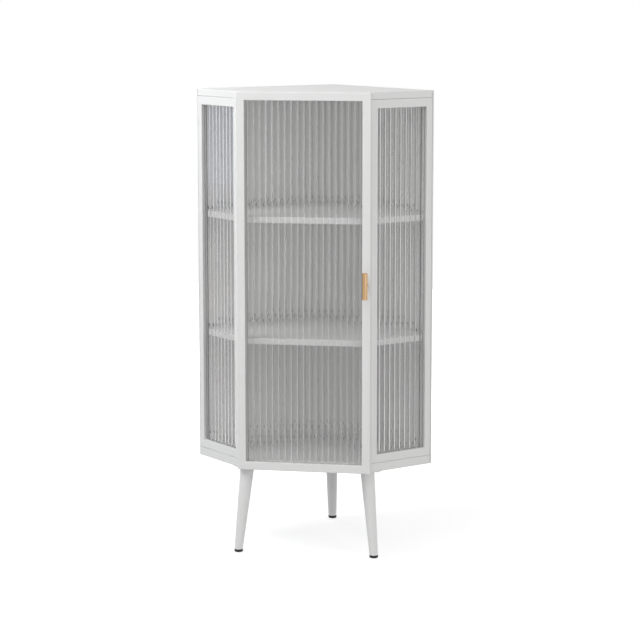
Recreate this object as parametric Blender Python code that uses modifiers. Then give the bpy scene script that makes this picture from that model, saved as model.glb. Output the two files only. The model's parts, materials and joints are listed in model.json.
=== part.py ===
"""Corner cabinet: a folded steel body with two canted glazed sides and a glazed door.

The plan is a pentagon. The door closes the narrow front, the sides run out at 45 degrees, and the
two backs meet square in the corner of the room. X runs along the door, Y into the corner, Z up.
"""

import bpy
import bmesh
from math import asin, ceil, cos, floor, pi, radians, sin, sqrt
from mathutils import Matrix, Vector

MM = 0.001
GAP = 0.3 * MM

# Main sizes
DOOR_WIDTH = 320 * MM
BODY_HEIGHT = 900 * MM
SIDE_RUN = 128 * MM
LEG_HEIGHT = 210 * MM
DOOR_DEPTH = 18 * MM
DOOR_CLEARANCE = 2 * MM

# Sheet steel
PANEL_SHEET = 1.0 * MM
FRAME_SHEET = 1.2 * MM
BEND = 1.5 * MM
BEND_STEPS = 2

# Top and bottom trays
TOP_FLANGE = 17 * MM
BOTTOM_FLANGE = 21 * MM
TRAY_LIP = 12 * MM

# Backs, whose edges turn in towards the body
BACK_DEPTH = 4 * MM
BACK_BEND = 1.2 * MM

# Canted side frames
SIDE_STILE = 17 * MM
SIDE_RAIL = 20.5 * MM
WINDOW_RETURN = 7.5 * MM

# Door frame
DOOR_MEMBER = 20 * MM
DOOR_LIP = 8 * MM

# Fluted glass: flat outside, round flutes inside
GLASS_BASE = 2.2 * MM
FLUTE_PITCH = 15 * MM
FLUTE_RADIUS = 11.4 * MM
FLUTE_STEPS = 8
GLASS_LAP = 6 * MM
SIDE_BEAD_SHEET = 1.0 * MM
SIDE_BEAD_WIDTH = 13 * MM

# Shelves
LOWER_SHELF_TOP = 316 * MM
SHELF_PITCH = 290 * MM
SHELF_FLANGE = 15 * MM
SHELF_LIP = 9 * MM
SHELF_FRONT_CLEARANCE = 4 * MM
SHELF_SIDE_CLEARANCE = 0.9 * MM
SHELF_BACK_CLEARANCE = 1 * MM

# Shelf pegs
PEG_RADIUS = 3 * MM
PEG_LENGTH = 12 * MM
PEG_COLLAR_RADIUS = 4.5 * MM
PEG_COLLAR = 1.5 * MM
PEG_NECK_RADIUS = 2 * MM
PEG_CHAMFER = 0.6 * MM
FRONT_PEG_INSET = 16 * MM
REAR_PEG_ALONG = 130 * MM

# Pivot hinges
PIN_INSET = 5.5 * MM
PIN_RADIUS = 2 * MM
PIN_FIT = 0.08 * MM
PIN_TAIL = 0.5 * MM
PIN_COLLAR_RADIUS = 3.5 * MM
PIN_COLLAR = 0.8 * MM
LEAF_LEVEL = 2.3 * MM
LEAF_SHEET = 2.0 * MM
LEAF_HALF_WIDTH = 4 * MM
TAB_LENGTH = 30 * MM
TAB_HEIGHT = 12 * MM
HINGE_SCREW_PLACES = (11 * MM, 21 * MM)
HINGE_SCREW_LEVEL = 9.5 * MM
HINGE_SCREW_RADIUS = 2 * MM
HINGE_SCREW_HEAD_RADIUS = 3.4 * MM
HINGE_SCREW_HEAD = 1.2 * MM
HINGE_SCREW_GRIP = 6 * MM
SLOT_CLEARANCE = 0.4 * MM
SLOT_FRONT_WALL = 3 * MM
BLOCK_WIDTH = 14 * MM
BLOCK_HEIGHT = 6.6 * MM
BLOCK_DEPTH = 11.2 * MM

# Magnetic catch and door buffers
CATCH_INSET = 6 * MM
CATCH_WIDTH = 9 * MM
CATCH_DEPTH = 9.5 * MM
CATCH_HEIGHT = 34 * MM
MAGNET_WIDTH = 4.8 * MM
MAGNET_DEPTH = 8 * MM
MAGNET_HEIGHT = 16 * MM
BUFFER_RADIUS = 4 * MM
BUFFER_INSET = 60 * MM
BUFFER_CHAMFER = 0.4 * MM

# Handle
HANDLE_LEVEL = 451.5 * MM
HANDLE_LENGTH = 63 * MM
HANDLE_RADIUS = 6.5 * MM
HANDLE_REACH = 22 * MM
HANDLE_CHAMFER = 0.8 * MM
POST_RADIUS = 3 * MM
POST_SOCKET = 4.5 * MM
POST_FOOT_RADIUS = 4.5 * MM
POST_FOOT = 1.5 * MM
HANDLE_SCREW_RADIUS = 1.8 * MM
HANDLE_SCREW_HEAD_RADIUS = 4 * MM
HANDLE_SCREW_HEAD = 2.4 * MM
HANDLE_SCREW_GRIP = 8 * MM

# Legs
FRONT_FOOT_X = 165.3 * MM
FRONT_FOOT_Y = 29.8 * MM
REAR_FOOT_Y = 404.2 * MM
FRONT_LEG_LEAN = 26.5 * MM
REAR_LEG_LEAN = 16 * MM
LEG_TOP_RADIUS = 17 * MM
LEG_FOOT_RADIUS = 10.25 * MM
LEG_WALL = 1.2 * MM
PLATE_SIDE = 50 * MM
PLATE_CLIP = 10 * MM
PLATE_SHEET = 2 * MM
LEG_SCREW_SPREAD = 24 * MM
LEG_SCREW_RADIUS = 2.5 * MM
LEG_SCREW_HEAD_RADIUS = 4.5 * MM
LEG_SCREW_HEAD = 2.5 * MM
LEG_SCREW_GRIP = 5.5 * MM
GLIDE_HEIGHT = 7 * MM
GLIDE_RADIUS = 10.5 * MM
GLIDE_FLAT_RADIUS = 6.5 * MM
GLIDE_DOME = 2.6 * MM
GLIDE_PLUG_RADIUS = 7.8 * MM
GLIDE_PLUG = 5 * MM

# Places that follow from the sizes
S = sqrt(0.5)
HALF_DOOR = DOOR_WIDTH / 2
BODY_FRONT = DOOR_DEPTH + DOOR_CLEARANCE
SIDE_CORNER_X = HALF_DOOR + SIDE_RUN
SIDE_CORNER_Y = BODY_FRONT + SIDE_RUN
APEX_Y = SIDE_CORNER_Y + SIDE_CORNER_X
BODY_TOP = LEG_HEIGHT + BODY_HEIGHT
BODY_MIDDLE = LEG_HEIGHT + BODY_HEIGHT / 2
BACK_SEAT = BACK_DEPTH + GAP
BACK_LENGTH = SIDE_CORNER_X / S
SIDE_LENGTH = SIDE_RUN / S - BACK_SEAT
SIDE_BOTTOM = LEG_HEIGHT + BOTTOM_FLANGE + GAP
SIDE_TOP = BODY_TOP - TOP_FLANGE - GAP
SIDE_MIDDLE = (SIDE_BOTTOM + SIDE_TOP) / 2
SIDE_HEIGHT = SIDE_TOP - SIDE_BOTTOM
GLASS_FACE = WINDOW_RETURN + GAP
FLUTE_HALF_ANGLE = asin(FLUTE_PITCH / 2 / FLUTE_RADIUS)
FLUTE_CENTRE_DROP = FLUTE_RADIUS * cos(FLUTE_HALF_ANGLE)
GLASS_THICKNESS = GLASS_BASE + FLUTE_RADIUS - FLUTE_CENTRE_DROP
BEAD_FACE = GLASS_FACE + GLASS_THICKNESS + GAP
SIDE_DEPTH = BEAD_FACE + SIDE_BEAD_SHEET
HINGE_X = -HALF_DOOR + PIN_INSET
HINGE_Y = DOOR_DEPTH / 2
HINGE_TAB_Y = BODY_FRONT + PANEL_SHEET + GAP
BLOCK_LEVEL = LEAF_LEVEL + LEAF_SHEET + GAP + PIN_COLLAR + GAP
HANDLE_X = HALF_DOOR - DOOR_MEMBER / 2
CATCH_X = HALF_DOOR - CATCH_INSET
DEPTH_MIDDLE = (APEX_Y - HANDLE_REACH - HANDLE_RADIUS) / 2
SHELF_LEVELS = (LEG_HEIGHT + LOWER_SHELF_TOP, LEG_HEIGHT + LOWER_SHELF_TOP + SHELF_PITCH)
ROUND = 24
LEG_ROUND = 48


def material(name, colour, roughness, metallic=0.0, transmission=0.0):
    """Make a plain surface of the piece's colour."""
    surface = bpy.data.materials.new(name)
    surface.use_nodes = True
    shader = surface.node_tree.nodes["Principled BSDF"]
    shader.inputs["Base Color"].default_value = (*colour, 1.0)
    shader.inputs["Roughness"].default_value = roughness
    shader.inputs["Metallic"].default_value = metallic
    shader.inputs["Transmission Weight"].default_value = transmission
    surface.diffuse_color = (*colour, 1.0)
    return surface


def collection(name):
    """Make a collection in the scene."""
    group = bpy.data.collections.new(name)
    bpy.context.scene.collection.children.link(group)
    return group


def empty(name, place, parent=None):
    """Make an empty that carries other pieces."""
    carrier = bpy.data.objects.new(name, None)
    carrier.location = place
    carrier.parent = parent
    PARTS.objects.link(carrier)
    return carrier


def put(name, bm, parent, place, turn, group):
    """Turn a bmesh into a named object at its place."""
    mesh = bpy.data.meshes.new(name)
    bm.to_mesh(mesh)
    bm.free()
    thing = bpy.data.objects.new(name, mesh)
    thing.location = place
    thing.rotation_euler = (0, 0, turn)
    thing.parent = parent
    group.objects.link(thing)
    return thing


def piece(name, bm, surface, parent, place=(0, 0, 0), turn=0.0):
    """Make a piece of the cabinet from a bmesh."""
    thing = put(name, bm, parent, place, turn, PARTS)
    thing.data.materials.append(surface)
    return thing


def cut(thing, bm):
    """Cut a piece with a shape built in the piece's own place."""
    tool = put(thing.name + "_cutter", bm, thing.parent, thing.location, 0, CUTTERS)
    tool.rotation_euler = thing.rotation_euler
    tool.hide_render = True
    tool.display_type = "WIRE"
    hole = thing.modifiers.new("holes", "BOOLEAN")
    hole.operation = "DIFFERENCE"
    hole.solver = "EXACT"
    hole.object = tool


def smooth(thing, angle=35):
    """Shade a round piece smooth, with its corners sharp."""
    thing.data.shade_smooth()
    thing.data.set_sharp_from_angle(angle=radians(angle))


def bend_sheet(thing, sheet, bend=BEND):
    """Round the bends of a folded sheet and give it its thickness, inwards."""
    if bend:
        rounding = thing.modifiers.new("bends", "BEVEL")
        rounding.width = bend
        rounding.segments = BEND_STEPS
        rounding.limit_method = "ANGLE"
        rounding.angle_limit = radians(30)
    wall = thing.modifiers.new("sheet", "SOLIDIFY")
    wall.thickness = sheet
    wall.offset = -1
    wall.use_even_offset = True


def add_box(bm, low, high):
    """Add a box between two corners."""
    low, high = Vector(low), Vector(high)
    verts = bmesh.ops.create_cube(bm, size=1.0)["verts"]
    bmesh.ops.scale(bm, vec=high - low, verts=verts)
    bmesh.ops.translate(bm, vec=(low + high) / 2, verts=verts)


def add_rod(bm, radius, length, centre, axis="Z"):
    """Add a round bar about its centre, along Y or Z."""
    turn = Matrix.Rotation(pi / 2 if axis == "Y" else 0, 4, "X")
    bmesh.ops.create_cone(
        bm, cap_ends=True, segments=ROUND, radius1=radius, radius2=radius, depth=length,
        matrix=Matrix.Translation(centre) @ turn,
    )


def turned(name, profile, surface, parent, place, turn=None, flip=False, sides=ROUND):
    """Spin a profile of radius and height, listed from the top down.

    The axis is Z, upside down if flipped. With a turn, it lies level, and zero points along Y.
    """
    mesh = bpy.data.meshes.new(name)
    mesh.from_pydata([(r, 0, z) for r, z in profile], [(i, i + 1) for i in range(len(profile) - 1)], [])
    mesh.materials.append(surface)
    thing = bpy.data.objects.new(name, mesh)
    thing.location = place
    if flip:
        thing.rotation_euler = (pi, 0, 0)
    if turn is not None:
        thing.rotation_euler = (-pi / 2, 0, turn)
    thing.parent = parent
    spin = thing.modifiers.new("turned", "SCREW")
    spin.angle = 2 * pi
    spin.steps = sides
    spin.render_steps = sides
    spin.use_merge_vertices = True
    spin.merge_threshold = 0.01 * MM
    PARTS.objects.link(thing)
    return thing


def screw_profile(head_radius, head, radius, grip):
    """The profile of a pan-head screw, its head's underside at zero."""
    edge = head * 0.45
    tip = radius * 0.3
    return [
        (0, head), (head_radius * 0.6, head), (head_radius, edge), (head_radius, 0),
        (radius, 0), (radius, tip - grip), (radius - tip, -grip), (0, -grip),
    ]


def face_outwards(bm, direction):
    """Point every face of an open sheet to the side that its first face should show."""
    bmesh.ops.recalc_face_normals(bm, faces=bm.faces)
    bm.faces.ensure_lookup_table()
    if bm.faces[0].normal.dot(Vector(direction)) < 0:
        bmesh.ops.reverse_faces(bm, faces=bm.faces)


def flip_mesh(bm, factors):
    """Mirror a mesh, for the other hand of a piece."""
    bmesh.ops.scale(bm, vec=factors, verts=bm.verts)
    bmesh.ops.reverse_faces(bm, faces=bm.faces)


def raise_faces(bm, faces, height):
    """Extrude level faces upwards and return the raised ones."""
    edges = {edge for face in faces for edge in face.edges}
    made = bmesh.ops.extrude_face_region(bm, geom=faces + list(edges))["geom"]
    for vert in made:
        if isinstance(vert, bmesh.types.BMVert):
            vert.co.z += height
    return [f for f in made if isinstance(f, bmesh.types.BMFace)]


def side_name(hand):
    """The word for a side: 1 is right and -1 is left, seen from the front."""
    return "right" if hand > 0 else "left"


def end_name(end):
    """The word for an end: 1 is upper and -1 is lower."""
    return "upper" if end > 0 else "lower"


def end_level(end, height):
    """A level measured in from the body's lower or upper end."""
    return BODY_TOP - height if end > 0 else LEG_HEIGHT + height


def pentagon(front, side, back):
    """Corners of the plan, moved in from its front, side and back planes.

    They run from the front left corner to the right, and so round to the left side corner.
    """
    planes = [
        ((0, -1), (0, BODY_FRONT), front),
        ((S, -S), (HALF_DOOR, BODY_FRONT), side),
        ((S, S), (SIDE_CORNER_X, SIDE_CORNER_Y), back),
        ((-S, S), (-SIDE_CORNER_X, SIDE_CORNER_Y), back),
        ((-S, -S), (-HALF_DOOR, BODY_FRONT), side),
    ]
    lines = [(n[0], n[1], n[0] * p[0] + n[1] * p[1] - inset) for n, p, inset in planes]
    corners = []
    for i in range(len(lines)):
        a, b, d = lines[i - 1]
        e, f, g = lines[i]
        det = a * f - b * e
        corners.append(((d * f - b * g) / det, (a * g - d * e) / det))
    return corners


def folded_tray(name, insets, level, flange, lip):
    """A pentagonal tray: a flat sheet, a flange along each edge and a lip turned inwards.

    A negative flange turns the edges down and a positive one turns them up.
    """
    outer = pentagon(*insets)
    inner = pentagon(*(inset + lip for inset in insets))
    bm = bmesh.new()
    flat = bm.faces.new([bm.verts.new((x, y, level)) for x, y in outer])
    ring = list(flat.verts)
    for points in (outer, inner):
        edges = [bm.edges.get((ring[i - 1], ring[i])) for i in range(len(ring))]
        made = bmesh.ops.extrude_edge_only(bm, edges=edges)["geom"]
        fresh = [v for v in made if isinstance(v, bmesh.types.BMVert)]
        ring = [min(fresh, key=lambda v: (v.co - old.co).length) for old in ring]
        for vert, (x, y) in zip(ring, points):
            vert.co = (x, y, level + flange)
    face_outwards(bm, (0, 0, -flange))
    tray = piece(name, bm, STEEL, CABINET)
    bend_sheet(tray, PANEL_SHEET)
    return tray


def upright_sheet(width, height):
    """A flat sheet in the XZ plane, facing -Y."""
    bm = bmesh.new()
    bmesh.ops.create_grid(bm, x_segments=1, y_segments=1, size=0.5)
    bmesh.ops.rotate(bm, matrix=Matrix.Rotation(pi / 2, 3, "X"), verts=bm.verts)
    bmesh.ops.scale(bm, vec=(width, 1, height), verts=bm.verts)
    bm.faces.ensure_lookup_table()
    return bm


def window_sheet(width, height, stile, rail):
    """An upright sheet with a window in it, its outer edges and its window edges."""
    bm = upright_sheet(width, height)
    pane = bm.faces[0]
    bmesh.ops.inset_region(bm, faces=[pane], thickness=stile, use_boundary=True, use_even_offset=True)
    for vert in pane.verts:
        vert.co.z -= (rail - stile) * (1 if vert.co.z > 0 else -1)
    outer = [e for e in bm.edges if e.is_boundary]
    window = list(pane.edges)
    bmesh.ops.delete(bm, geom=[pane], context="FACES_ONLY")
    return bm, outer, window


def fold(bm, edges, depth, narrow=0.0):
    """Fold a ring of edges back by a depth, or in by a width, and return what it made."""
    made = bmesh.ops.extrude_edge_only(bm, edges=edges)["geom"]
    fresh = [v for v in made if isinstance(v, bmesh.types.BMVert)]
    for vert in fresh:
        vert.co.y += depth
        vert.co.x -= narrow * (1 if vert.co.x > 0 else -1)
        vert.co.z -= narrow * (1 if vert.co.z > 0 else -1)
    ring = [e for e in made if isinstance(e, bmesh.types.BMEdge)]
    return fresh, ring


def side_turn(hand):
    """The turn that lays X along a canted side, from the front corner back."""
    return radians(45) if hand > 0 else radians(135)


def side_place(hand, along, depth, level):
    """A point by its way along a canted side and its depth behind the side's face."""
    x = hand * (HALF_DOOR + (along - depth) * S)
    return (x, BODY_FRONT + (along + depth) * S, level)


def back_place(hand, along, depth, level):
    """A point by its way along a back from the side corner and its depth in from the wall."""
    x = hand * (SIDE_CORNER_X - (along + depth) * S)
    return (x, SIDE_CORNER_Y + (along - depth) * S, level)


def peg_level(shelf_level):
    """The height of a peg's axis under a shelf whose top is at the given level."""
    return shelf_level - SHELF_FLANGE - GAP - PEG_RADIUS


def make_side_frame(hand):
    """A canted side: one folded sheet round a window, with a front flange behind the door."""
    bm, outer, window = window_sheet(SIDE_LENGTH, SIDE_HEIGHT, SIDE_STILE, SIDE_RAIL)
    flange, _ = fold(bm, outer, SIDE_DEPTH)
    for vert in flange:
        if vert.co.x < 0:
            vert.co.x -= SIDE_DEPTH
    fold(bm, window, WINDOW_RETURN)
    face_outwards(bm, (0, -1, 0))
    if hand < 0:
        flip_mesh(bm, (1, -1, 1))
    place = side_place(hand, SIDE_LENGTH / 2, 0, SIDE_MIDDLE)
    frame = piece(side_name(hand) + "_side_frame", bm, STEEL, CABINET, place, side_turn(hand))
    bend_sheet(frame, FRAME_SHEET)
    return frame


def cut_side_frame(frame, hand):
    """Holes for the front shelf pegs, and on the right a slot for the catch's magnet."""
    bm = bmesh.new()
    for level in SHELF_LEVELS:
        x = hand * (HALF_DOOR - FRONT_PEG_INSET)
        place = (x, BODY_FRONT, peg_level(level))
        add_rod(bm, PEG_NECK_RADIUS + GAP, 4 * FRAME_SHEET, place, "Y")
    if hand > 0:
        half_width = MAGNET_WIDTH / 2 + GAP
        half_height = MAGNET_HEIGHT / 2 + GAP
        low = (CATCH_X - half_width, BODY_FRONT - FRAME_SHEET, BODY_MIDDLE - half_height)
        high = (CATCH_X + half_width, BODY_FRONT + 2 * FRAME_SHEET, BODY_MIDDLE + half_height)
        add_box(bm, low, high)
    turn = Matrix.Rotation(frame.rotation_euler.z, 4, "Z")
    at = Matrix.Translation(frame.location) @ turn
    bmesh.ops.transform(bm, matrix=at.inverted(), verts=bm.verts)
    cut(frame, bm)


def fluted_sheet(width, height):
    """A sheet of fluted glass: its flat face at zero depth, its flutes inside."""
    half = width / 2
    step = FLUTE_PITCH / FLUTE_STEPS
    count = ceil(half / step) - 1
    across = [-half] + [i * step for i in range(-count, count + 1)] + [half]
    outline = []
    for x in across:
        off = (x / FLUTE_PITCH - floor(x / FLUTE_PITCH) - 0.5) * FLUTE_PITCH
        depth = GLASS_BASE + sqrt(FLUTE_RADIUS ** 2 - off ** 2) - FLUTE_CENTRE_DROP
        outline.append((x, depth))
    outline += [(half, 0), (-half, 0)]
    bm = bmesh.new()
    end = bm.faces.new([bm.verts.new((x, y, -height / 2)) for x, y in outline])
    raise_faces(bm, [end], height)
    bmesh.ops.recalc_face_normals(bm, faces=bm.faces)
    return bm


def make_side_glazing(hand):
    """The fluted glass of a canted side, and the flat bead that holds it from inside."""
    width = SIDE_LENGTH - 2 * SIDE_STILE
    height = SIDE_HEIGHT - 2 * SIDE_RAIL
    bm = fluted_sheet(width + 2 * GLASS_LAP, height + 2 * GLASS_LAP)
    if hand < 0:
        flip_mesh(bm, (1, -1, 1))
    place = side_place(hand, SIDE_LENGTH / 2, GLASS_FACE, SIDE_MIDDLE)
    glass = piece(side_name(hand) + "_side_glass", bm, GLASS, CABINET, place, side_turn(hand))
    smooth(glass)

    width += 2 * SIDE_BEAD_WIDTH
    height += 2 * SIDE_BEAD_WIDTH
    bm, _, _ = window_sheet(width, height, SIDE_BEAD_WIDTH, SIDE_BEAD_WIDTH)
    if hand < 0:
        flip_mesh(bm, (1, -1, 1))
    place = side_place(hand, SIDE_LENGTH / 2, BEAD_FACE, SIDE_MIDDLE)
    bead = piece(side_name(hand) + "_glass_bead", bm, STEEL, CABINET, place, side_turn(hand))
    bend_sheet(bead, SIDE_BEAD_SHEET, 0)


def make_back_panel(hand):
    """A back: a flat sheet to the wall, its four edges turned in. The left one laps the right."""
    length = BACK_LENGTH - (BACK_SEAT if hand > 0 else 0)
    bm = upright_sheet(length, BODY_HEIGHT)
    fold(bm, list(bm.edges), BACK_DEPTH)
    face_outwards(bm, (0, -1, 0))
    if hand < 0:
        flip_mesh(bm, (1, -1, 1))
    turn = radians(135) if hand > 0 else radians(45)
    place = back_place(hand, length / 2, 0, BODY_MIDDLE)
    back = piece(side_name(hand) + "_back_panel", bm, STEEL, CABINET, place, turn)
    bend_sheet(back, PANEL_SHEET, BACK_BEND)

    bm = bmesh.new()
    for level in SHELF_LEVELS:
        place = (REAR_PEG_ALONG - length / 2, 0, peg_level(level) - BODY_MIDDLE)
        add_rod(bm, PEG_NECK_RADIUS + GAP, 4 * PANEL_SHEET, place, "Y")
    cut(back, bm)


def peg_profile(sheet):
    """The profile of a shelf peg: a shank, a collar behind the sheet and a neck through it."""
    return [
        (0, PEG_LENGTH), (PEG_RADIUS - PEG_CHAMFER, PEG_LENGTH), (PEG_RADIUS, PEG_LENGTH - PEG_CHAMFER),
        (PEG_RADIUS, PEG_COLLAR), (PEG_COLLAR_RADIUS, PEG_COLLAR), (PEG_COLLAR_RADIUS, 0),
        (PEG_NECK_RADIUS, 0), (PEG_NECK_RADIUS, -sheet - GAP), (0, -sheet - GAP),
    ]


def make_shelf(end, level):
    """A shelf: a folded tray on four pegs, two in the front flanges and two in the backs."""
    insets = (SHELF_FRONT_CLEARANCE, SIDE_DEPTH + SHELF_SIDE_CLEARANCE, BACK_SEAT + SHELF_BACK_CLEARANCE)
    folded_tray(end_name(end) + "_shelf", insets, level, -SHELF_FLANGE, SHELF_LIP)
    for hand in (-1, 1):
        name = end_name(end) + "_" + side_name(hand)
        x = hand * (HALF_DOOR - FRONT_PEG_INSET)
        place = (x, BODY_FRONT + FRAME_SHEET + GAP, peg_level(level))
        turned(name + "_front_peg", peg_profile(FRAME_SHEET), ZINC, CABINET, place, 0)
        place = back_place(hand, REAR_PEG_ALONG, PANEL_SHEET + GAP, peg_level(level))
        turn = hand * radians(135)
        turned(name + "_rear_peg", peg_profile(PANEL_SHEET), ZINC, CABINET, place, turn)


def on_door(x, y, z):
    """A point of the cabinet, seen from the door's hinge axis."""
    return (x - HINGE_X, y - HINGE_Y, z - LEG_HEIGHT)


def make_door_frame():
    """The door: a channel folded from one sheet round its window, slotted for the hinge leaves."""
    bm, outer, window = window_sheet(DOOR_WIDTH, BODY_HEIGHT, DOOR_MEMBER, DOOR_MEMBER)
    _, made = fold(bm, outer, DOOR_DEPTH)
    rim = [e for e in made if all(abs(v.co.y - DOOR_DEPTH) < GAP for v in e.verts)]
    fold(bm, rim, 0, DOOR_LIP)
    fold(bm, window, WINDOW_RETURN)
    face_outwards(bm, (0, -1, 0))
    frame = piece("door_frame", bm, STEEL, DOOR, on_door(0, 0, BODY_MIDDLE))
    bend_sheet(frame, FRAME_SHEET)

    bm = bmesh.new()
    slot_low = LEAF_LEVEL - SLOT_CLEARANCE - BODY_HEIGHT / 2
    slot_high = slot_low + LEAF_SHEET + 2 * SLOT_CLEARANCE
    left = -HALF_DOOR - DOOR_CLEARANCE
    right = HINGE_X + LEAF_HALF_WIDTH + SLOT_CLEARANCE
    back = DOOR_DEPTH + DOOR_CLEARANCE
    add_box(bm, (left, SLOT_FRONT_WALL, slot_low), (right, back, slot_high))
    add_box(bm, (left, SLOT_FRONT_WALL, -slot_high), (right, back, -slot_low))
    screw_hole = (HANDLE_X, 0, HANDLE_LEVEL - BODY_HEIGHT / 2)
    add_rod(bm, HANDLE_SCREW_RADIUS + GAP, 4 * FRAME_SHEET, screw_hole, "Y")
    cut(frame, bm)


def make_door_glazing():
    """The door's fluted glass and the U-section bead that holds it from inside."""
    width = DOOR_WIDTH - 2 * DOOR_MEMBER + 2 * GLASS_LAP
    height = BODY_HEIGHT - 2 * DOOR_MEMBER + 2 * GLASS_LAP
    place = on_door(0, GLASS_FACE, BODY_MIDDLE)
    glass = piece("door_glass", fluted_sheet(width, height), GLASS, DOOR, place)
    smooth(glass)

    inset = DOOR_LIP + GAP
    width = DOOR_MEMBER - inset
    bm, outer, window = window_sheet(DOOR_WIDTH - 2 * inset, BODY_HEIGHT - 2 * inset, width, width)
    depth = DOOR_DEPTH - BEAD_FACE
    fold(bm, outer, -depth)
    fold(bm, window, -depth)
    face_outwards(bm, (0, 1, 0))
    bead = piece("door_glass_bead", bm, STEEL, DOOR, on_door(0, DOOR_DEPTH, BODY_MIDDLE))
    bend_sheet(bead, PANEL_SHEET)


def make_handle():
    """A short round bar on one post, screwed from inside the door's channel."""
    end = HANDLE_LENGTH / 2
    shoulder = HANDLE_RADIUS - HANDLE_CHAMFER
    profile = [
        (0, end), (shoulder, end), (HANDLE_RADIUS, end - HANDLE_CHAMFER),
        (HANDLE_RADIUS, HANDLE_CHAMFER - end), (shoulder, -end), (0, -end),
    ]
    level = LEG_HEIGHT + HANDLE_LEVEL
    place = on_door(HANDLE_X, -HANDLE_REACH, level)
    bar = turned("handle_bar", profile, BRASS, DOOR, place, sides=LEG_ROUND)
    bm = bmesh.new()
    add_rod(bm, POST_RADIUS + GAP, 2 * POST_SOCKET, (0, HANDLE_RADIUS, 0), "Y")
    cut(bar, bm)

    reach = HANDLE_REACH - HANDLE_RADIUS + POST_SOCKET - GAP
    bore = HANDLE_SCREW_RADIUS + PIN_FIT
    profile = [
        (0, reach), (POST_RADIUS, reach), (POST_RADIUS, POST_FOOT), (POST_FOOT_RADIUS, POST_FOOT),
        (POST_FOOT_RADIUS, GAP), (bore, GAP), (bore, HANDLE_SCREW_GRIP), (0, HANDLE_SCREW_GRIP),
    ]
    turned("handle_post", profile, BRASS, DOOR, on_door(HANDLE_X, 0, level), pi)

    profile = screw_profile(
        HANDLE_SCREW_HEAD_RADIUS, HANDLE_SCREW_HEAD, HANDLE_SCREW_RADIUS, HANDLE_SCREW_GRIP)
    turned("handle_screw", profile, ZINC, DOOR, on_door(HANDLE_X, FRAME_SHEET + GAP, level), 0)


def bracket_mesh(end):
    """A leaf with a round end about the pin, and a tab folded up behind the tray's flange."""
    w = LEAF_HALF_WIDTH
    front = HINGE_TAB_Y - HINGE_Y
    back = front + LEAF_SHEET
    arc = [(w * cos(pi + pi * i / 12), w * sin(pi + pi * i / 12)) for i in range(13)]
    strip = [(-w, front), (w, front), (TAB_LENGTH - w, front), (TAB_LENGTH - w, back), (-w, back)]
    bm = bmesh.new()
    verts = {}
    faces = []
    for outline in (arc + [(w, front), (-w, front)], strip):
        corners = []
        for x, y in outline:
            key = (round(x, 7), round(y, 7))
            if key not in verts:
                verts[key] = bm.verts.new((x, y, LEAF_LEVEL))
            corners.append(verts[key])
        faces.append(bm.faces.new(corners))
    tops = raise_faces(bm, faces, LEAF_SHEET)
    tab = max(tops, key=lambda f: f.calc_center_median().y)
    raise_faces(bm, [tab], TAB_HEIGHT - LEAF_SHEET)
    bmesh.ops.recalc_face_normals(bm, faces=bm.faces)
    if end > 0:
        flip_mesh(bm, (1, 1, -1))
    return bm


def bracket_holes(end):
    """The holes of a hinge bracket: one for its pin and one for each screw."""
    bm = bmesh.new()
    add_rod(bm, PIN_RADIUS + PIN_FIT, 3 * LEAF_SHEET, (0, 0, LEAF_LEVEL))
    for offset in HINGE_SCREW_PLACES:
        place = (offset, HINGE_TAB_Y - HINGE_Y, HINGE_SCREW_LEVEL)
        add_rod(bm, HINGE_SCREW_RADIUS + GAP, 4 * LEAF_SHEET, place, "Y")
    if end > 0:
        flip_mesh(bm, (1, 1, -1))
    return bm


def make_pivot_block(end):
    """The nylon bearing in the door's channel, bored for the hinge pin."""
    left = -HALF_DOOR + FRAME_SHEET + GAP - HINGE_X
    front = FRAME_SHEET + GAP - HINGE_Y
    bm = bmesh.new()
    low = (left, front, BLOCK_LEVEL)
    high = (left + BLOCK_WIDTH, front + BLOCK_DEPTH, BLOCK_LEVEL + BLOCK_HEIGHT)
    add_box(bm, low, high)
    bore = bmesh.new()
    add_rod(bore, PIN_RADIUS + PIN_FIT, 4 * BLOCK_HEIGHT, (0, 0, BLOCK_LEVEL))
    if end > 0:
        flip_mesh(bm, (1, 1, -1))
        flip_mesh(bore, (1, 1, -1))
    place = (0, 0, end_level(end, 0) - LEG_HEIGHT)
    block = piece(end_name(end) + "_pivot_block", bm, NYLON, DOOR, place)
    cut(block, bore)


def make_hinge(end):
    """A pivot hinge: a bracket on the tray, its pin, its screws and the block in the door."""
    name = end_name(end)
    place = (HINGE_X, HINGE_Y, end_level(end, 0))
    bracket = piece(name + "_hinge_bracket", bracket_mesh(end), ZINC, CABINET, place)
    cut(bracket, bracket_holes(end))

    collar_low = LEAF_LEVEL + LEAF_SHEET + GAP
    collar_high = collar_low + PIN_COLLAR
    pin_low = LEAF_LEVEL - PIN_TAIL
    pin_high = BLOCK_LEVEL + BLOCK_HEIGHT - GAP
    profile = [
        (0, pin_high), (PIN_RADIUS, pin_high), (PIN_RADIUS, collar_high), (PIN_COLLAR_RADIUS, collar_high),
        (PIN_COLLAR_RADIUS, collar_low), (PIN_RADIUS, collar_low), (PIN_RADIUS, pin_low), (0, pin_low),
    ]
    turned(name + "_hinge_pin", profile, ZINC, CABINET, place, flip=end > 0)

    profile = screw_profile(
        HINGE_SCREW_HEAD_RADIUS, HINGE_SCREW_HEAD, HINGE_SCREW_RADIUS, HINGE_SCREW_GRIP)
    for number, offset in enumerate(HINGE_SCREW_PLACES, 1):
        place = (HINGE_X + offset, BODY_FRONT - GAP, end_level(end, HINGE_SCREW_LEVEL))
        turned(f"{name}_hinge_screw_{number}", profile, ZINC, CABINET, place, pi)
    make_pivot_block(end)


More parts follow.
